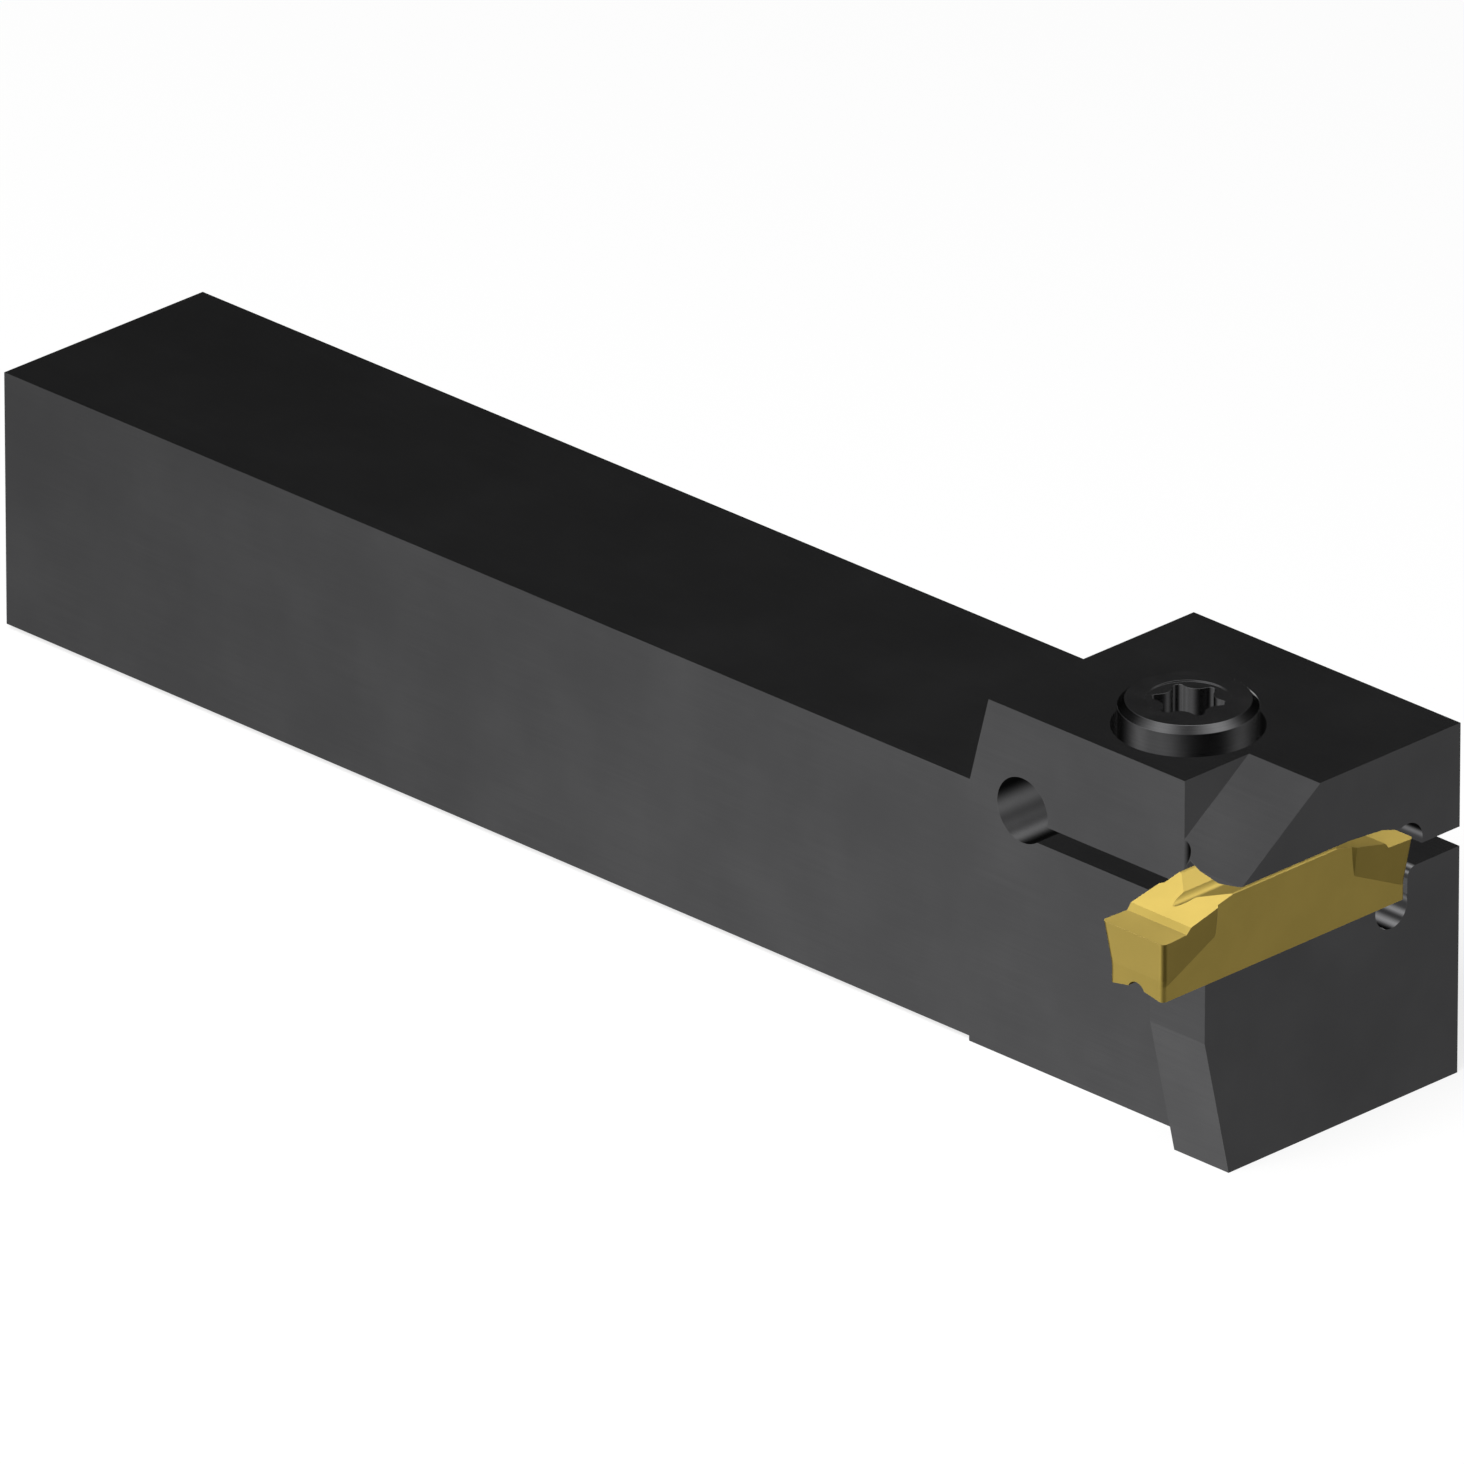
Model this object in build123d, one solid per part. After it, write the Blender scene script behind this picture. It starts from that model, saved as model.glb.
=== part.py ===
from build123d import *
from math import cos, radians, sin, tan
import os

# External grooving holder with a square shank, a split head that clamps one double-ended insert,
# and the cap screw that closes the clamp.
# Millimetres. +X runs along the shank to the cutting head, the insert points to -Y, +Z is up.
# The origin is the centre of the shank's bottom seat face.

# Shank and head block
shank_length = 122.5
shank_width = 25.0
shank_height = 25.0
head_length = 35.0
head_rise = 8.5            # head top above the shank top
head_drop = 0.5            # head bottom below the shank bottom
head_overwidth = 0.8       # head wider than the shank on the far side
neck_lean = 15.0           # lean of the head's back face, degrees

# Insert
edge_reach = 12.5          # cutting edge out from the shank's side face
insert_length = 31.4       # cutting edge to cutting edge
edge_width = 7.6
body_width = 6.5
body_rise = 1.75           # top corner of the body above the cutting edge
body_depth = 5.9           # bottom corner of the body below the cutting edge
corner_radius = 0.5
front_clearance = 7.0      # degrees
clearance_depth = 3.9      # below it the end face stands upright
plan_relief = 3.07         # flank taper towards the middle, degrees
side_relief = 6.4          # flank taper downwards, degrees
rake_land = 3.04
former_run = 0.5           # steep step of the chip former, along the insert
former_rise = 0.56
former_slope = 12.0        # slope behind the step, degrees
cutting_head_length = 6.95 # edge to the end of the wide part
head_ramp = 0.44           # length over which the wide part drops to the body's side
ramp_tuck = 0.05           # foot of that ramp inside the body's side
vee_angle = 10.8           # slope of the locating faces, degrees
corner_land = 0.25         # narrow flat along each corner, beside the locating faces
top_groove_depth = 0.87    # round groove along the vee, below its corners
top_groove_radius = 0.85
bottom_groove_depth = 1.0  # the same above the lower corners
bottom_groove_radius = 1.05

# Clamp pocket
insert_proud = 0.54        # insert body proud of the holder's front face
pocket_side_gap = 0.15     # wide end of the insert to the pocket's inner wall
blade_reach = 6.2          # support blade out from the side face
blade_toe_reach = 3.08     # the same at the blade's bottom
blade_bend_height = 13.05  # height where the blade starts to slant back
root_radius = 2.0          # blade to side face
stop_gap = 0.78            # insert's rear end face to the pocket's rear wall
stop_round = 1.0           # rounded top of the rear wall
pocket_relief_radius = 2.0
pocket_relief_height = 6.6     # relief under the insert's rear end, below the cutting edge
upper_relief_radius = 1.9
upper_relief_height = 1.0      # relief above the rear wall, below the cutting edge
roof_start = 7.85          # the roof leaves the vee this far behind the insert's middle
roof_fall = 0.42
roof_run = 5.0
lip_fall = 0.6
lip_run = 1.9

# Flexing jaw
slot_height = 1.88
slot_below_edge = 1.55     # roof of the slot below the cutting edge
relief_radius = 3.12
relief_rise = 0.65         # hole centre above the roof of the slot
relief_station = 6.5       # hole centre beyond the shank's end
shoulder_depth = 8.65      # recess of the upper jaw behind the front face
chip_slope = 35.0          # chip face of the upper jaw, degrees
chip_start = 8.08          # chip face starts this far in from the side face
nose_setback = 10.75       # blunt nose of the upper jaw behind the cutting edge

# Clamp screw, M8
thread_radius = 4.0
thread_length = 20.0
thread_end_chamfer = 0.9
head_radius = 6.28
head_height = 8.0
head_top_above = 2.5       # head top above the holder's top face
head_chamfer = 0.62
lobe_count = 6
socket_radius = 3.35       # out to the lobes
socket_root_radius = 2.39  # in to the flutes
lobe_radius = 0.55
socket_turn = 32.5         # degrees from +X to a lobe
socket_depth = 4.0
socket_mouth_radius = 3.8
socket_mouth_depth = 0.15
screw_setback = 16.7       # screw axis behind the front face
screw_inset = 8.7          # screw axis in from the side face
counterbore_clearance = 0.62
shank_hole_clearance = 0.5
thread_clearance = 0.05
tapped_depth_spare = 2.0   # tapped hole deeper than the screw's end
drill_point = 59.0         # half angle of the drilled bottom, degrees

# Stations worked out from the sizes above
back_x = -shank_length / 2
head_x = shank_length / 2
front_x = head_x + head_length
side_y = -shank_width / 2
far_y = shank_width / 2 + head_overwidth
top_z = shank_height + head_rise
bottom_z = -head_drop
edge_z = shank_height
edge_y = side_y - edge_reach
insert_mid_y = edge_y + insert_length / 2
insert_mid_x = front_x + insert_proud - body_width / 2
end_setback = clearance_depth * tan(radians(front_clearance))
insert_end_y = insert_mid_y + insert_length / 2 - end_setback
stop_y = insert_end_y + stop_gap
pocket_x = insert_mid_x - edge_width / 2 - pocket_side_gap
nose_y = edge_y + nose_setback
slot_top_z = edge_z - slot_below_edge
slot_bottom_z = slot_top_z - slot_height
screw_x = front_x - screw_setback
screw_y = side_y + screw_inset
screw_top_z = top_z + head_top_above
screw_seat_z = screw_top_z - head_height
beyond = 20.0              # how far a cutter runs past the solid
overlap = 1.0              # how far joined solids run into each other


def prism_along_x(points, low_x, high_x):
    """A polygon of (y, z) points carried from low_x to high_x."""
    outline = Polygon(*points, align=None)
    return extrude(Plane.YZ.offset(low_x) * outline, high_x - low_x, dir=(1, 0, 0))


def prism_along_y(points, low_y, high_y):
    """A polygon of (x, z) points carried from low_y to high_y."""
    outline = Polygon(*points, align=None)
    return extrude(Plane.XZ.offset(-high_y) * outline, high_y - low_y, dir=(0, -1, 0))


def block(low, high):
    """A box between two corners."""
    size = [b - a for a, b in zip(low, high)]
    return Pos(*low) * Box(*size, align=(Align.MIN, Align.MIN, Align.MIN))


def rod_along_x(y, z, radius, low_x, high_x):
    return Pos(low_x, y, z) * Rot(0, 90, 0) * Cylinder(
        radius, high_x - low_x, align=(Align.CENTER, Align.CENTER, Align.MIN))


def rod_along_y(x, z, radius, low_y, high_y):
    return Pos(x, low_y, z) * Rot(-90, 0, 0) * Cylinder(
        radius, high_y - low_y, align=(Align.CENTER, Align.CENTER, Align.MIN))


def upright(radius, low_z, high_z):
    return Pos(0, 0, low_z) * Cylinder(
        radius, high_z - low_z, align=(Align.CENTER, Align.CENTER, Align.MIN))


def vee_line(side):
    """Locating vee across the insert, as (x, z) between its corner lands; side is 1 on top, -1 below."""
    half = body_width / 2 - corner_land
    corner_z = edge_z + (body_rise if side > 0 else -body_depth)
    sag = half * tan(radians(vee_angle))
    return [(insert_mid_x - half, corner_z),
            (insert_mid_x, corner_z - side * sag),
            (insert_mid_x + half, corner_z)]


def vee_past(side):
    """The same vee carried on past both corners of the insert."""
    left, apex, right = vee_line(side)
    extra = beyond * tan(radians(vee_angle))
    return [(left[0] - beyond, left[1] + side * extra), apex,
            (right[0] + beyond, right[1] + side * extra)]


def cutting_insert():
    """Double-ended insert: two wide cutting heads on a narrower body, with vee faces top and bottom."""
    half_length = insert_length / 2
    slope = tan(radians(former_slope))
    step_y = -half_length + rake_land
    slope_y = step_y + former_run
    crest_y = slope_y + (body_rise - former_rise) / slope
    front_half = [(-half_length + end_setback, -body_depth),
                  (-half_length + end_setback, -clearance_depth),
                  (-half_length, 0),
                  (step_y, 0),
                  (slope_y, former_rise),
                  (crest_y, body_rise)]
    back_half = [(-y, z) for y, z in reversed(front_half)]
    outline = [(insert_mid_y + y, edge_z + z) for y, z in front_half + back_half]
    side_profile = prism_along_x(outline, insert_mid_x - edge_width, insert_mid_x + edge_width)

    plan = insert_body_plan()
    for end in (0, 180):
        plan += Pos(insert_mid_x, insert_mid_y, edge_z) * Rot(0, 0, end) * cutting_head_plan()
    insert = plan & side_profile

    for side in (1, -1):
        insert -= prism_along_y(vee_line(side) + [(insert_mid_x, edge_z + side * beyond)],
                                edge_y - beyond, stop_y + beyond)
    top_groove_z = edge_z + body_rise - top_groove_depth + top_groove_radius
    bottom_groove_z = edge_z - body_depth + bottom_groove_depth - bottom_groove_radius
    for z, radius in ((top_groove_z, top_groove_radius), (bottom_groove_z, bottom_groove_radius)):
        insert -= rod_along_y(insert_mid_x, z, radius, edge_y - beyond, stop_y + beyond)
    return insert


def insert_body_plan():
    """The narrow body between the two end faces, with rounded upright corners."""
    outline = RectangleRounded(body_width, insert_length - 2 * end_setback, corner_radius)
    height = body_depth + body_rise
    return extrude(Pos(insert_mid_x, insert_mid_y, edge_z - body_depth) * outline, height)


def cutting_head_plan():
    """One wide head, its edge towards -Y, tapering back and down; origin at the insert's middle."""
    levels = [(-body_depth, end_setback), (-clearance_depth, end_setback),
              (body_rise, -body_rise * tan(radians(front_clearance)))]
    sections = [cutting_head_section(z, setback) for z, setback in levels]
    lower = loft(sections[:2], ruled=True)
    upper = loft(sections[1:], ruled=True)
    return lower + upper


def cutting_head_section(z, setback):
    """Horizontal section of a head at one height: a trapezoid with rounded front corners."""
    front_y = -insert_length / 2 + setback
    back_y = -insert_length / 2 + cutting_head_length
    level = edge_width / 2 + z * tan(radians(side_relief))
    taper = tan(radians(plan_relief))
    front = level - setback * taper
    back = level - cutting_head_length * taper
    narrow = min(body_width / 2, back) - ramp_tuck
    outline = Polygon((-front, front_y), (front, front_y), (back, back_y),
                      (narrow, back_y + head_ramp), (-narrow, back_y + head_ramp), (-back, back_y),
                      align=None)
    corners = outline.vertices().group_by(Axis.Y)[0]
    outline = fillet(corners, corner_radius)
    return Plane.XY.offset(z) * outline


def insert_pocket():
    """Space for the insert: vee seats above and below, a rear wall, and relief holes at its corners."""
    past_front = front_x + beyond
    lower = vee_past(-1)
    upper = vee_past(1)
    pocket = prism_along_y(lower + upper[::-1], edge_y - beyond, stop_y)
    pocket &= block((pocket_x, edge_y - beyond, edge_z - beyond), (past_front, stop_y, edge_z + beyond))
    pocket -= pocket_roof()
    pocket += stop_rounding()
    pocket += rod_along_x(stop_y - pocket_relief_radius, edge_z - pocket_relief_height,
                          pocket_relief_radius, pocket_x, past_front)
    pocket += rod_along_x(stop_y, edge_z - upper_relief_height, upper_relief_radius,
                          pocket_x, past_front)
    return pocket


def pocket_roof():
    """Underside of the upper jaw behind the clamping vee: it falls to a lip over the insert's end."""
    crest_z = edge_z + body_rise
    start_y = insert_mid_y + roof_start
    bend_y = start_y + roof_run
    lip_y = bend_y + lip_run
    return prism_along_x([(start_y, crest_z), (bend_y, crest_z - roof_fall),
                          (lip_y, crest_z - roof_fall - lip_fall),
                          (stop_y + beyond, crest_z - roof_fall - lip_fall),
                          (stop_y + beyond, crest_z + beyond), (start_y, crest_z + beyond)],
                         pocket_x - overlap, front_x + beyond)


def stop_rounding():
    """What a round takes off the top edge of the rear wall."""
    low = (pocket_x, stop_y, slot_bottom_z - stop_round)
    high = (front_x + beyond, stop_y + stop_round, slot_bottom_z)
    return block(low, high) - rod_along_x(stop_y + stop_round, slot_bottom_z - stop_round,
                                          stop_round, pocket_x, front_x + beyond)


def support_blade():
    """Thin blade that carries the insert out past the side face, with a round at its root."""
    root_y = side_y + overlap
    blade_y = side_y - blade_reach
    blade = prism_along_x([(root_y, bottom_z), (side_y - blade_toe_reach, bottom_z),
                           (blade_y, blade_bend_height), (blade_y, top_z), (root_y, top_z)],
                          pocket_x, front_x)
    root = block((pocket_x - root_radius, side_y - root_radius, bottom_z), (pocket_x, side_y, top_z))
    rounding = Pos(pocket_x - root_radius, side_y - root_radius, 0) * upright(
        root_radius, bottom_z - overlap, top_z + overlap)
    return blade + (root - rounding)


def chip_face_cut():
    """Slanting chip face on the upper jaw, in front of the shoulder."""
    slope = tan(radians(chip_slope))
    start_y = side_y + chip_start
    run = chip_start + blade_reach + beyond
    return prism_along_x([(start_y, top_z), (start_y - run, top_z - run * slope),
                          (start_y - run, top_z + beyond), (start_y, top_z + beyond)],
                         front_x - shoulder_depth, front_x + beyond)


def nose_cut():
    """What the blunt nose takes off the tip of the upper jaw."""
    return block((front_x - shoulder_depth, edge_y - beyond, slot_top_z),
                 (front_x + beyond, nose_y, top_z + beyond))


def screw_holes():
    """Counterbore and clearance hole in the upper jaw, tapped hole with a drilled bottom below."""
    tapped_radius = thread_radius + thread_clearance
    tapped_end_z = screw_seat_z - thread_length - tapped_depth_spare
    holes = upright(head_radius + counterbore_clearance, screw_seat_z, top_z + beyond)
    holes += upright(thread_radius + shank_hole_clearance, slot_bottom_z, screw_seat_z)
    holes += upright(tapped_radius, tapped_end_z, slot_bottom_z)
    point = tapped_radius / tan(radians(drill_point))
    holes += Pos(0, 0, tapped_end_z) * Cone(0, tapped_radius, point,
                                            align=(Align.CENTER, Align.CENTER, Align.MAX))
    return Pos(screw_x, screw_y, 0) * holes


def holder_body():
    """Shank, head block and blade in one piece, split by the flex slot."""
    body = block((back_x, side_y, 0), (head_x + overlap, -side_y, shank_height))
    lean = head_rise * tan(radians(neck_lean))
    body += prism_along_y([(head_x, bottom_z), (front_x, bottom_z), (front_x, top_z),
                           (head_x + lean, top_z), (head_x, shank_height)], side_y, far_y)
    body += support_blade()
    body -= chip_face_cut()
    body -= nose_cut()
    relief_x = head_x + relief_station
    body -= rod_along_y(relief_x, slot_top_z + relief_rise, relief_radius,
                        side_y - beyond, far_y + beyond)
    body -= block((relief_x, side_y - beyond, slot_bottom_z),
                  (front_x + beyond, far_y + beyond, slot_top_z))
    body -= insert_pocket()
    body -= screw_holes()
    return body


def around(radius, angle):
    """Point at a radius and an angle in degrees about the screw's axis."""
    return Vector(radius * cos(radians(angle)), radius * sin(radians(angle)))


def six_lobe_socket():
    """Six-lobe recess: round lobes joined by round flutes, each tangent to the next."""
    pitch = 360 / lobe_count
    lobe_ring = socket_radius - lobe_radius
    skew = lobe_ring * cos(radians(pitch / 2))
    flute_radius = (lobe_ring ** 2 + socket_root_radius ** 2 - 2 * socket_root_radius * skew
                    - lobe_radius ** 2) / (2 * (lobe_radius - socket_root_radius + skew))
    flute_ring = socket_root_radius + flute_radius

    def meeting_point(angle, side):
        lobe = around(lobe_ring, angle)
        flute = around(flute_ring, angle + side * pitch / 2)
        return lobe + (flute - lobe) * (lobe_radius / (lobe_radius + flute_radius))

    arcs = []
    for lobe in range(lobe_count):
        angle = socket_turn + lobe * pitch
        lobe_end = meeting_point(angle, 1)
        arcs.append(ThreePointArc(meeting_point(angle, -1), around(socket_radius, angle), lobe_end))
        arcs.append(ThreePointArc(lobe_end, around(socket_root_radius, angle + pitch / 2),
                                  meeting_point(angle + pitch, -1)))
    return extrude(make_face(arcs), socket_depth)


def clamp_screw():
    """Cap screw with a chamfered head and a six-lobe socket."""
    seat = screw_seat_z
    end = seat - thread_length
    outline = Polyline((0, end), (thread_radius - thread_end_chamfer, end),
                       (thread_radius, end + thread_end_chamfer), (thread_radius, seat),
                       (head_radius, seat), (head_radius, screw_top_z - head_chamfer),
                       (head_radius - head_chamfer, screw_top_z), (0, screw_top_z), close=True)
    screw = revolve(Plane.XZ * make_face(outline), Axis.Z)
    screw -= Pos(0, 0, screw_top_z - socket_depth) * six_lobe_socket()
    screw -= upright(socket_mouth_radius, screw_top_z - socket_mouth_depth, screw_top_z + beyond)
    return Pos(screw_x, screw_y, 0) * screw


pieces = {
    "holder_body": holder_body(),
    "grooving_insert": cutting_insert(),
    "clamp_screw": clamp_screw(),
}
os.makedirs("parts", exist_ok=True)
for name, piece in pieces.items():
    export_step(piece, f"parts/{name}.step")
    box = piece.bounding_box()
    print(name, len(piece.solids()), round(piece.volume, 1), box.min, box.max)
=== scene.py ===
from math import atan2, cos, pi, radians, sin

import bmesh
import bpy
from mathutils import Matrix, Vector


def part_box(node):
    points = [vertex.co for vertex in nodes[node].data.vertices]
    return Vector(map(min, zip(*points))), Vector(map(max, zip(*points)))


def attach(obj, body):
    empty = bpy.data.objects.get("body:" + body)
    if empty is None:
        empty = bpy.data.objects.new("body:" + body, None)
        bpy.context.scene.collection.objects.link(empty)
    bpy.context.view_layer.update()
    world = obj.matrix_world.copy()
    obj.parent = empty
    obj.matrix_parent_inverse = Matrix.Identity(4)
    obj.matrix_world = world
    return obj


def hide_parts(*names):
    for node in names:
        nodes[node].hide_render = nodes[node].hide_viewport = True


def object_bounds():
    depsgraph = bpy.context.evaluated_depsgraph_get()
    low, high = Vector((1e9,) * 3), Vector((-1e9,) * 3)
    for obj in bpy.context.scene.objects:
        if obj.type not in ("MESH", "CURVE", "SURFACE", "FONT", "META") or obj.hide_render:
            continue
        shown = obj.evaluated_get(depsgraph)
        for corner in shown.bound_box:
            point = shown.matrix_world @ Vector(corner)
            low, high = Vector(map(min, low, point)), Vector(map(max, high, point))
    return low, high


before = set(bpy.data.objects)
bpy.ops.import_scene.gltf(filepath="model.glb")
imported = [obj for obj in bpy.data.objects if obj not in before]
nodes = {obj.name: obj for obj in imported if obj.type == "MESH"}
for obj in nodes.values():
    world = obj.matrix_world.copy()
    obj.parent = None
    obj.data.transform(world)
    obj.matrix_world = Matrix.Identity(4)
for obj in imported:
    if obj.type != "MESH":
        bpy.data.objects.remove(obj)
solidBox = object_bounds()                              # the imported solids' own box
scene = bpy.context.scene
mm = 0.001


class Wire:                                         # a socket that can be used in sums
    def __init__(self, tree, socket=None):
        self.tree, self.socket = tree, socket

    def node(self, kind, settings=None, sockets=None, out=0):
        made = self.tree.nodes.new(kind)
        for name, value in (settings or {}).items():
            setattr(made, name, value)
        for name, value in (sockets or {}).items():
            if isinstance(value, Wire):
                self.tree.links.new(value.socket, made.inputs[name])
            else:
                made.inputs[name].default_value = value
        return Wire(self.tree, made.outputs[out] if len(made.outputs) else None)

    def split(self, vector):                        # its x, y and z
        outputs = self.node("ShaderNodeSeparateXYZ", {}, {0: vector}).socket.node.outputs
        return [Wire(self.tree, output) for output in outputs]

    def maths(self, operation, *values):
        return self.node("ShaderNodeMath", {"operation": operation}, dict(enumerate(values)))

    def __add__(self, other):
        return self.maths("ADD", self, other)

    def __radd__(self, other):
        return self.maths("ADD", other, self)

    def __sub__(self, other):
        return self.maths("SUBTRACT", self, other)

    def __rsub__(self, other):
        return self.maths("SUBTRACT", other, self)

    def __mul__(self, other):
        return self.maths("MULTIPLY", self, other)

    def __rmul__(self, other):
        return self.maths("MULTIPLY", other, self)

    def __truediv__(self, other):
        return self.maths("DIVIDE", self, other)

    def clamp(self, low, high):                     # 0 below low, 1 above high, smooth between
        return self.node("ShaderNodeMapRange", {"interpolation_type": "SMOOTHSTEP"},
                         {"Value": self, "From Min": low, "From Max": high})


def startMaterial(name):
    material = bpy.data.materials.new(name)
    material.use_nodes = True
    tree = material.node_tree
    tree.nodes.clear()
    return material, Wire(tree)


def scaled(wire, coords, scale):                    # coordinates stretched by a scale for each axis
    return wire.node("ShaderNodeVectorMath", {"operation": "MULTIPLY"}, {0: coords, 1: scale})


def noise(wire, coords, scale, detail, roughness):
    return wire.node("ShaderNodeTexNoise", {"noise_dimensions": "3D"},
                     {"Vector": coords, "Scale": scale, "Detail": detail, "Roughness": roughness})


def mixColour(wire, factor, first, second):
    return wire.node("ShaderNodeMix", {"data_type": "RGBA"}, {0: factor, 6: first, 7: second}, out=2)


def edgeMask(wire, width):                          # 1 on edges and corners, 0 on flat faces
    rounded = wire.node("ShaderNodeBevel", {"samples": 4}, {"Radius": width})
    flat = wire.node("ShaderNodeNewGeometry", out=1)
    along = wire.node("ShaderNodeVectorMath", {"operation": "DOT_PRODUCT"}, {0: rounded, 1: flat}, out=1)
    return (1 - along).clamp(0.02, 0.3)


def metalShader(wire, base, rough, height, look):   # what all three materials end in
    bump = wire.node("ShaderNodeBump", {}, {
        "Strength": look["bump"], "Distance": look["bumpDepth"], "Height": height})
    shader = wire.node("ShaderNodeBsdfPrincipled", {}, {
        "Base Color": base, "Metallic": 1.0, "Roughness": rough, "Normal": bump})
    wire.node("ShaderNodeOutputMaterial", {}, {"Surface": shader})


# Steel of the holder: ground, then plated dark
holderSteel = {
    "colour": (0.078, 0.078, 0.080, 1),
    "paleColour": (0.100, 0.100, 0.102, 1),         # where the plating has rubbed thin
    "wornColour": (0.240, 0.236, 0.230, 1),         # along edges
    "paintedFarShade": 0.72,                               # painted shade: the colour's scale at the plain end of the shank, against 1 at the head, for light falling off along the shank
    "paintedShadeSpan": (-0.085, 0.075),
    "roughness": 0.15,
    "cloudRoughness": 0.06, "grainRoughness": 0.05, "wornRoughness": -0.05,
    "grainLength": 12 * mm, "grainWidth": 0.09 * mm,
    "cloudSize": 14 * mm, "patchSize": 5.6 * mm,
    "bump": 0.35, "bumpDepth": 0.0004 * mm,
    "edgeWidth": 0.12 * mm, "edgeAmount": 0.35,
}


def makeHolderSteel(look):
    material, wire = startMaterial("holderSteel")
    coords = wire.node("ShaderNodeTexCoord", out="Object")
    stretch = (1 / look["grainLength"], 1 / look["grainWidth"], 1 / look["grainWidth"])
    grain = noise(wire, scaled(wire, coords, stretch), 1.0, 3.0, 0.6)
    clouds = noise(wire, coords, 1 / look["cloudSize"], 3.0, 0.6)
    patches = noise(wire, coords, 1 / look["patchSize"], 4.0, 0.65)
    worn = edgeMask(wire, look["edgeWidth"]) * patches.clamp(0.38, 0.6) * look["edgeAmount"]
    pale = (clouds * 0.6 + grain * 0.4).clamp(0.35, 0.75)
    base = mixColour(wire, pale, look["colour"], look["paleColour"])
    base = mixColour(wire, worn, base, look["wornColour"])
    # painted shade: the base colour darkens towards the plain end of the shank, standing in for light that
    # falls off along it
    along = wire.node("ShaderNodeSeparateXYZ", {}, {0: coords}, out="X")
    paintedShade = look["paintedFarShade"] + along.clamp(*look["paintedShadeSpan"]) * (1 - look["paintedFarShade"])
    base = wire.node("ShaderNodeVectorMath", {"operation": "SCALE"}, {0: base, "Scale": paintedShade})
    rough = look["roughness"] + (clouds - 0.5) * look["cloudRoughness"] + (
        grain - 0.5) * look["grainRoughness"] + worn * look["wornRoughness"]
    metalShader(wire, base, rough, grain, look)
    return material


# Coated carbide of the insert
coatedCarbide = {
    "colour": (0.472, 0.353, 0.085, 1),
    "paleColour": (0.503, 0.376, 0.092, 1),
    "wornColour": (0.680, 0.530, 0.190, 1),
    "roughness": 0.46,
    "cloudRoughness": 0.08, "grainRoughness": 0.06,
    "grainSize": 0.05 * mm, "cloudSize": 5 * mm,
    "bump": 0.3, "bumpDepth": 0.0008 * mm,
    "edgeWidth": 0.08 * mm, "edgeAmount": 0.45,
}


def makeCoatedCarbide(look):
    material, wire = startMaterial("coatedCarbide")
    coords = wire.node("ShaderNodeTexCoord", out="Object")
    grain = noise(wire, coords, 1 / look["grainSize"], 2.0, 0.6)
    clouds = noise(wire, coords, 1 / look["cloudSize"], 3.0, 0.55)
    worn = edgeMask(wire, look["edgeWidth"]) * look["edgeAmount"]
    base = mixColour(wire, clouds.clamp(0.35, 0.7), look["colour"], look["paleColour"])
    base = mixColour(wire, worn, base, look["wornColour"])
    rough = look["roughness"] + (clouds - 0.5) * look["cloudRoughness"] + (
        grain - 0.5) * look["grainRoughness"]
    metalShader(wire, base, rough, grain, look)
    return material


# Blackened steel of the clamp screw
screwSteel = {
    "colour": (0.075, 0.075, 0.077, 1),
    "paleColour": (0.105, 0.105, 0.106, 1),
    "wornColour": (0.260, 0.255, 0.250, 1),
    "roughness": 0.17,
    "cloudRoughness": 0.08, "ringRoughness": 0.06,
    "ringWidth": 0.07 * mm, "cloudSize": 2.857 * mm,
    "bump": 0.3, "bumpDepth": 0.0004 * mm,
    "edgeWidth": 0.05 * mm, "edgeAmount": 0.35,
}


def makeScrewSteel(look, axis):
    material, wire = startMaterial("screwSteel")
    coords = wire.node("ShaderNodeTexCoord", out="Object")
    offset = wire.node("ShaderNodeVectorMath", {"operation": "SUBTRACT"}, {0: coords, 1: axis})
    x, y, z = wire.split(offset)
    outwards = wire.maths("SQRT", x * x + y * y)
    ringCoords = wire.node("ShaderNodeCombineXYZ", {}, {
        "X": outwards / look["ringWidth"], "Y": z / look["ringWidth"], "Z": 0.0})
    rings = noise(wire, ringCoords, 1.0, 2.0, 0.6)
    clouds = noise(wire, coords, 1 / look["cloudSize"], 3.0, 0.6)
    worn = edgeMask(wire, look["edgeWidth"]) * clouds.clamp(0.35, 0.65) * look["edgeAmount"]
    pale = (clouds * 0.5 + rings * 0.5).clamp(0.35, 0.75)
    base = mixColour(wire, pale, look["colour"], look["paleColour"])
    base = mixColour(wire, worn, base, look["wornColour"])
    rough = look["roughness"] + (clouds - 0.5) * look["cloudRoughness"] + (
        rings - 0.5) * look["ringRoughness"]
    metalShader(wire, base, rough, rings, look)
    return material


def dress(node, material):
    node.data.materials.clear()
    node.data.materials.append(material)


screwLow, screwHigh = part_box("clamp_screw")
screwFoot = Vector(((screwLow.x + screwHigh.x) / 2, (screwLow.y + screwHigh.y) / 2, screwLow.z))
screwFinish = makeScrewSteel(screwSteel, tuple(screwFoot))
dress(nodes["holder_body"], makeHolderSteel(holderSteel))
dress(nodes["grooving_insert"], makeCoatedCarbide(coatedCarbide))
dress(nodes["clamp_screw"], screwFinish)
print("finishes made")

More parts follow.
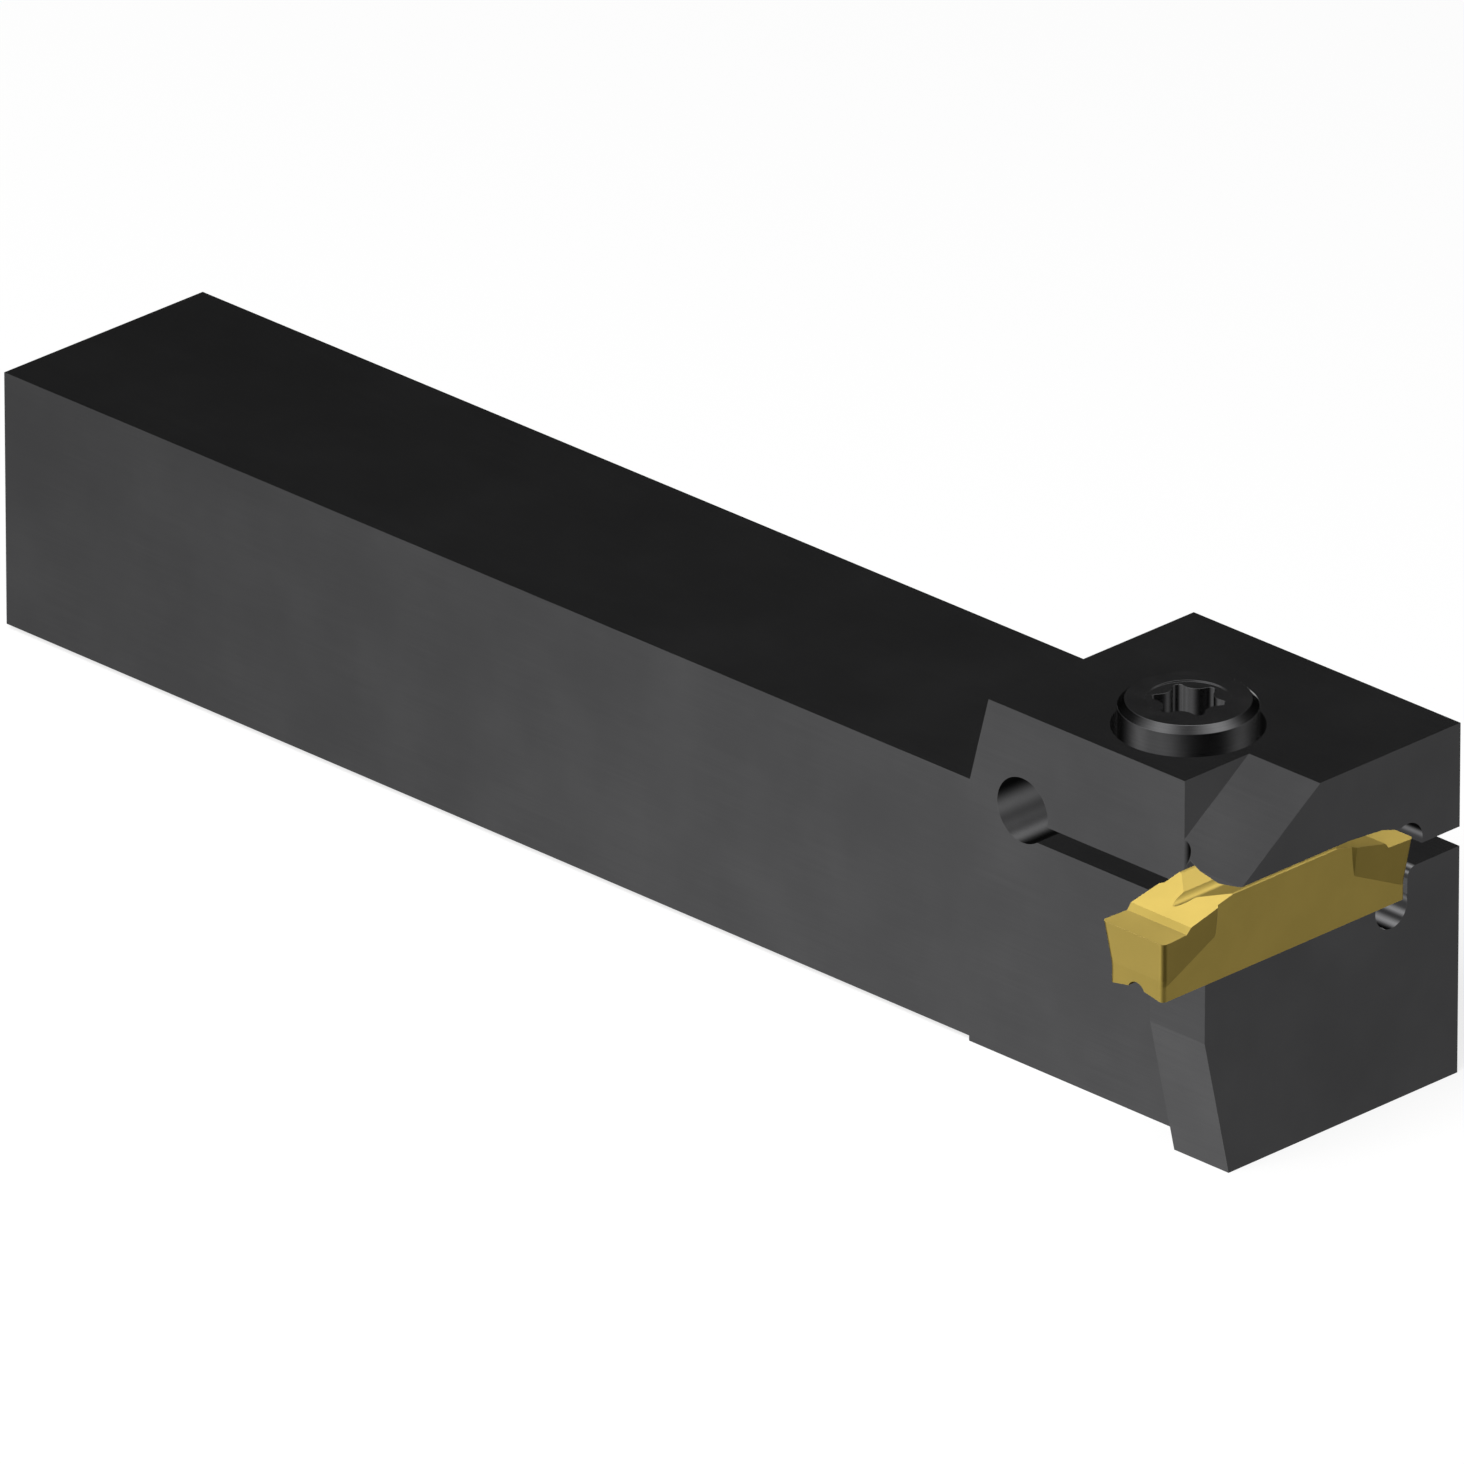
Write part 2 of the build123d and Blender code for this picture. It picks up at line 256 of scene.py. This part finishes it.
# Clamp screw: a head turned in rings about its axis, on a thread that Geometry Nodes wind up
weldGap = 0.002 * mm                                # points closer than this become one
clampScrew = {
    "lobes": 6, "stepsPerLobe": 16,
    "headHeight": 8.0 * mm, "headChamfer": 0.62 * mm, "edgeRound": 0.020 * mm,
    "mouthRadius": 3.8 * mm, "mouthDepth": 0.15 * mm, "mouthFlat": 0.2 * mm,
    "lobeReach": 3.35 * mm, "fluteReach": 2.39 * mm, "lobeRound": 0.55 * mm,
    "lobeTurn": 32.5,                               # degrees from +X to a lobe
    "rim": ((1.012, 0), (1.006, 0),                 # the socket's size and depth at each ring of its rim
            (1.0015, 0.005 * mm), (1, 0.018 * mm), (1, 0.035 * mm)),
    "socketDepth": 4.0 * mm, "footRound": 0.05 * mm,
    "drillRim": 0.97, "drillCone": (0.55, 0.3 * mm), "socketPoint": 0.7 * mm,
    "thread": {"Major Radius": 4.0 * mm, "Root Radius": 3.23 * mm, "Pitch": 1.25 * mm,
               "End Radius": 3.1 * mm, "Neck Radius": 3.9 * mm},
}


def socketOutline(look):                            # six round lobes joined by round flutes
    half, steps = pi / look["lobes"], look["stepsPerLobe"]
    lobeRound, quarter = look["lobeRound"], steps // 4
    lobeRing = look["lobeReach"] - lobeRound
    skew = lobeRing * cos(half)
    reach = look["fluteReach"]
    fluteRound = (lobeRing ** 2 + reach ** 2 - 2 * reach * skew - lobeRound ** 2) / (
        2 * (lobeRound - reach + skew))
    fluteRing = reach + fluteRound
    fluteHalf = atan2(lobeRing * sin(half), fluteRing - skew)
    lobeHalf = half + fluteHalf                     # both arcs end where they touch
    points = []
    for lobe in range(look["lobes"]):
        turn = radians(look["lobeTurn"]) + 2 * half * lobe
        for step in range(steps):
            if quarter <= step < 3 * quarter:
                centre, size, middle = fluteRing, fluteRound, turn + half
                angle = middle + pi + fluteHalf * (1 - (step - quarter) / quarter)
            else:
                near = step < quarter
                centre, size, middle = lobeRing, lobeRound, turn if near else turn + 2 * half
                angle = middle + lobeHalf * (step / quarter if near else step / quarter - 4)
            points.append((centre * cos(middle) + size * cos(angle),
                           centre * sin(middle) + size * sin(angle)))
    return points


def softened(profile, size):                        # a profile's corners rounded, its flats held flat
    points, hold = [profile[0]], 1.3                # the flats end this many sizes from the corner
    for before, corner, after in zip(profile, profile[1:], profile[2:]):
        start, corner, end = Vector(before), Vector(corner), Vector(after)
        start = corner + (start - corner).normalized() * size
        end = corner + (end - corner).normalized() * size
        points.append(corner + (start - corner) * hold)
        for part in (0, 0.25, 0.5, 0.75, 1):
            points.append(start.lerp(corner, part).lerp(corner.lerp(end, part), part))
        points.append(corner + (end - corner) * hold)
    return points + [profile[-1]]


def makeThreadTree():
    tree = bpy.data.node_groups.new("screwThread", "GeometryNodeTree")
    tree.interface.new_socket("Geometry", in_out="INPUT", socket_type="NodeSocketGeometry")
    for name in ("Major Radius", "Root Radius", "Pitch", "End Radius", "Neck Radius", "Length", "Turn"):
        tree.interface.new_socket(name, in_out="INPUT", socket_type="NodeSocketFloat")
    tree.interface.new_socket("Segments", in_out="INPUT", socket_type="NodeSocketInt")
    tree.interface.new_socket("Material", in_out="INPUT", socket_type="NodeSocketMaterial")
    tree.interface.new_socket("Geometry", in_out="OUTPUT", socket_type="NodeSocketGeometry")
    wire = Wire(tree)
    given = tree.nodes.new("NodeGroupInput").outputs
    major, root, pitch, endRadius, neck, length, turn, segments, material = (
        Wire(tree, given[name]) for name in ("Major Radius", "Root Radius", "Pitch", "End Radius",
                                             "Neck Radius", "Length", "Turn", "Segments", "Material"))
    rowsPerTurn = 8
    rows = wire.maths("ROUND", (length / pitch + 1) * rowsPerTurn)
    turns = rows / rowsPerTurn
    sheet = wire.node("GeometryNodeMeshGrid", {}, {
        "Size X": 1.0, "Size Y": 1.0, "Vertices X": segments + 1, "Vertices Y": rows + 1})
    across, along = wire.split(wire.node("GeometryNodeInputPosition"))[:2]
    around, climb = across + 0.5, (along + 0.5) * turns
    raw = (climb - 1 + around) * pitch              # rows of the sheet follow the helix, and its seam meets
    depth = wire.maths("ABSOLUTE", wire.maths("FRACT", climb) - 0.5) * 2    # 0 on a crest, 1 in a root
    flankTop, flankFoot = 0.125, 0.75
    flank = wire.node("ShaderNodeMapRange", {}, {
        "Value": depth, "From Min": flankTop, "From Max": flankFoot})
    profile = major - flank * (major - root)
    height = wire.maths("MINIMUM", wire.maths("MAXIMUM", raw, 0.0), length)
    fadeStart, fadeEnd = 1.6, 0.7                   # pitches below the head
    runOut = raw.clamp(length - pitch * fadeStart, length - pitch * fadeEnd)
    radius = wire.maths("MINIMUM", profile + runOut * (neck - profile), endRadius + height)
    angle = around * (2 * pi) + turn
    spot = wire.node("ShaderNodeCombineXYZ", {}, {
        "X": radius * wire.maths("COSINE", angle), "Y": radius * wire.maths("SINE", angle), "Z": height})
    wound = wire.node("GeometryNodeSetPosition", {}, {"Geometry": sheet, "Position": spot})
    disc = wire.node("GeometryNodeMeshCircle", {"fill_type": "NGON"}, {
        "Vertices": segments, "Radius": endRadius})
    spin = wire.node("ShaderNodeCombineXYZ", {}, {"X": 0.0, "Y": 0.0, "Z": turn})
    disc = wire.node("GeometryNodeTransform", {}, {"Geometry": disc, "Rotation": spin})
    joined = wire.node("GeometryNodeJoinGeometry", {}, {"Geometry": wound})
    tree.links.new(disc.socket, joined.socket.node.inputs["Geometry"])
    merged = wire.node("GeometryNodeMergeByDistance", {}, {"Geometry": joined, "Distance": weldGap})
    real = wire.node("GeometryNodeRealizeInstances", {}, {"Geometry": merged})
    dressed = wire.node("GeometryNodeSetMaterial", {}, {"Geometry": real, "Material": material})
    tree.links.new(dressed.socket, tree.nodes.new("NodeGroupOutput").inputs["Geometry"])
    return tree


def windThread(look, length, material):
    tree = makeThreadTree()
    seed = bpy.data.objects.new("threadSeed", bpy.data.meshes.new("threadSeed"))
    scene.collection.objects.link(seed)
    modifier = seed.modifiers.new("screwThread", "NODES")
    modifier.node_group = tree
    values = {**look["thread"], "Length": length, "Turn": radians(look["lobeTurn"]),
              "Segments": look["lobes"] * look["stepsPerLobe"], "Material": material}
    for item in tree.interface.items_tree:
        if item.in_out == "INPUT" and item.name in values:
            modifier[item.identifier] = values[item.name]
    depsgraph = bpy.context.evaluated_depsgraph_get()
    mesh = bpy.data.meshes.new_from_object(seed.evaluated_get(depsgraph))
    seed.modifiers.remove(modifier)
    bpy.data.objects.remove(seed)
    return mesh


def makeClampScrew(look, low, high, foot, material):
    top = high.z - low.z
    headRadius, seat = (high.x - low.x) / 2, top - look["headHeight"]
    segments = look["lobes"] * look["stepsPerLobe"]
    turn = radians(look["lobeTurn"])
    circle = [(cos(turn + 2 * pi * step / segments), sin(turn + 2 * pi * step / segments))
              for step in range(segments)]
    mouthFloor = top - look["mouthDepth"]
    turned = softened([(look["thread"]["Neck Radius"], seat), (headRadius, seat),
                       (headRadius, top - look["headChamfer"]), (headRadius - look["headChamfer"], top),
                       (look["mouthRadius"], top), (look["mouthRadius"], mouthFloor),
                       (look["lobeReach"] + look["mouthFlat"], mouthFloor)], look["edgeRound"])
    rings = [[(x * radius, y * radius, z) for x, y in circle] for radius, z in turned]
    outline, bottom = socketOutline(look), top - look["socketDepth"]
    coneSize, coneDepth = look["drillCone"]
    steps = [(size, mouthFloor - depth) for size, depth in look["rim"]]
    steps += [(1, bottom + look["footRound"]), (1, bottom), (look["drillRim"], bottom),
              (coneSize, bottom - coneDepth)]
    rings += [[(x * size, y * size, z) for x, y in outline] for size, z in steps]
    build = bmesh.new()
    build.from_mesh(windThread(look, seat, material))
    laid = [[build.verts.new(point) for point in ring] for ring in rings]
    for ring, following in zip(laid, laid[1:]):
        for step in range(segments):
            ahead = (step + 1) % segments
            build.faces.new((ring[step], ring[ahead], following[ahead], following[step]))
    point = build.verts.new((0, 0, bottom - look["socketPoint"]))
    for step in range(segments):
        build.faces.new((laid[-1][step], laid[-1][(step + 1) % segments], point))
    bmesh.ops.remove_doubles(build, verts=build.verts, dist=weldGap)
    bmesh.ops.recalc_face_normals(build, faces=build.faces)
    bmesh.ops.translate(build, verts=build.verts, vec=foot)
    mesh = bpy.data.meshes.new("clampScrew")
    build.to_mesh(mesh)
    build.free()
    mesh.shade_smooth()
    screw = bpy.data.objects.new("clampScrew", mesh)
    scene.collection.objects.link(screw)
    dress(screw, material)
    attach(screw, "root")
    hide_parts("clamp_screw")
    return screw


screwPiece = makeClampScrew(clampScrew, screwLow, screwHigh, screwFoot, screwFinish)
for piece in (*nodes.values(), screwPiece):
    piece.visible_glossy = False                    # metal mirrors the studio and not its own walls
print("clamp screw built:", len(screwPiece.data.polygons), "faces")

# Floor: white to the camera, with the object's shadow, and out of the way of reflections
floorLook = {
    "halfSize": 12.0,
    "height": solidBox[0][2],
    "colour": (0.25, 0.25, 0.25, 1),
    "cameraLift": 0.80,                             # share of plain white that the camera sees
}


def makeQuad(name, corners):
    mesh = bpy.data.meshes.new(name)
    mesh.from_pydata(corners, [], [(0, 1, 2, 3)])
    quad = bpy.data.objects.new(name, mesh)
    scene.collection.objects.link(quad)
    return quad


def makeFloor(look):
    half, z = look["halfSize"], look["height"]
    floor = makeQuad("studioFloor", [(-half, -half, z), (half, -half, z),
                                     (half, half, z), (-half, half, z)])
    material, wire = startMaterial("paleFloor")
    camera = wire.node("ShaderNodeLightPath", out="Is Camera Ray")
    plain = wire.node("ShaderNodeBsdfDiffuse", {}, {"Color": look["colour"]})
    glow = wire.node("ShaderNodeEmission", {}, {
        "Color": (1, 1, 1, 1), "Strength": camera * look["cameraLift"]})
    both = wire.node("ShaderNodeAddShader", {}, {0: plain, 1: glow})
    wire.node("ShaderNodeOutputMaterial", {}, {"Surface": both})
    dress(floor, material)
    floor.visible_glossy = False


makeFloor(floorLook)

# Studio light: azimuth counts from +X towards +Y, elevation from the floor, both in degrees
target = Vector((0.060, -0.005, 0.015))
keyLook = {"azimuth": -80, "elevation": 55, "distance": 1.2, "size": (0.9, 0.7), "glow": 8.2}
worldLook = {
    "softboxes": {                                  # for metal: azimuth, elevation, glow, narrowness
        "front": (-97, 41, 3.67, 13.2),
        "leftFront": (-127, 26, 2.88, 40),
        "left": (-151, -1, 1.52, 23.5),
        "rightFront": (25, 57, 2.26, 12.3),
        "overhead": (146, 68, 6.0, 13.4),
        "frontLow": (-91, -13, 0.92, 6.1),          # this and the next two: light thrown back by the floor
        "rightLow": (46, -3, 0.97, 10.1),
        "leftLow": (-131, -40, 2.00, 30.7),
    },
    "dark": 0.0084,                                 # what metal mirrors between them
    "fill": 0.08, "background": 1.0,                # what lights the rest, and what the camera sees
}
cardLook = {                                        # azimuth, distance, width, low and high edge, glow
    "back": (90, 0.175, 0.280, -0.037, -0.010, 0.7),
    "right": (0, 0.340, 0.300, -0.074, 0.060, 0.8),
    "left": (180, 0.290, 0.200, -0.045, 0.022, 0.8),
    "frontRight": (-45, 0.350, 0.350, -0.088, 0.060, 0.6),
}


def direction(azimuth, elevation):
    around, up = radians(azimuth), radians(elevation)
    return Vector((cos(around) * cos(up), sin(around) * cos(up), sin(up)))


def makeCard(name, look):                           # a strip that only metal sees, beside and behind
    azimuth, distance, width, low, high, glow = look
    middle = target + direction(azimuth, 0) * distance
    across = direction(azimuth + 90, 0) * (width / 2)
    left, right = middle - across, middle + across
    card = makeQuad(name + "Card", [(left.x, left.y, low), (right.x, right.y, low),
                                    (right.x, right.y, high), (left.x, left.y, high)])
    material, wire = startMaterial(name + "CardGlow")
    glowing = wire.node("ShaderNodeEmission", {}, {"Color": (1, 1, 1, 1), "Strength": glow})
    wire.node("ShaderNodeOutputMaterial", {}, {"Surface": glowing})
    material.cycles.emission_sampling = "NONE"
    dress(card, material)
    card.visible_camera = card.visible_diffuse = False
    card.visible_transmission = card.visible_shadow = False


def makeKey(look):
    data = bpy.data.lights.new("keyLamp", "AREA")
    data.shape = "RECTANGLE"
    data.size, data.size_y = look["size"]
    data.energy = look["glow"] * pi * data.size * data.size_y
    towards = direction(look["azimuth"], look["elevation"])
    light = bpy.data.objects.new("keyLamp", data)
    light.location = target + towards * look["distance"]
    light.rotation_euler = towards.to_track_quat("Z", "Y").to_euler()
    light.visible_glossy = False                    # the world's softboxes are what the metal mirrors
    scene.collection.objects.link(light)


def makeWorld(look):
    world = bpy.data.worlds.new("studioWorld")
    world.use_nodes = True
    scene.world = world
    tree = world.node_tree
    tree.nodes.clear()
    wire = Wire(tree)
    coords = wire.node("ShaderNodeTexCoord", out=0)     # the direction that a ray leaves in
    glow = look["dark"]
    for azimuth, elevation, strength, narrowness in look["softboxes"].values():
        facing = wire.node("ShaderNodeVectorMath", {"operation": "DOT_PRODUCT"}, {
            0: coords, 1: direction(azimuth, elevation)}, out=1)
        glow = wire.maths("POWER", wire.maths("MAXIMUM", facing, 0.0), narrowness) * strength + glow
    fill = look["fill"]
    camera = wire.node("ShaderNodeLightPath", out="Is Camera Ray")
    glossy = wire.node("ShaderNodeLightPath", out="Is Glossy Ray")
    strength = fill + glossy * (glow - fill) + camera * (look["background"] - fill)
    background = wire.node("ShaderNodeBackground", {}, {"Color": (1, 1, 1, 1), "Strength": strength})
    wire.node("ShaderNodeOutputWorld", {}, {"Surface": background})


makeKey(keyLook)
makeWorld(worldLook)
for name, look in cardLook.items():
    makeCard(name, look)
print("studio lit")

# Camera at the photograph's place
cameraPlace = {"location": (2.00735, -1.9882, 1.3227), "turn": (65, 0, 45), "lens": 855.6}
camera = bpy.data.objects.new("camera", bpy.data.cameras.new("camera"))
camera.location = cameraPlace["location"]
camera.rotation_euler = [radians(angle) for angle in cameraPlace["turn"]]
camera.data.lens = cameraPlace["lens"]
camera.data.sensor_width = 36
camera.data.clip_end = 100
scene.collection.objects.link(camera)
scene.camera = camera
scene.view_settings.view_transform = "Standard"
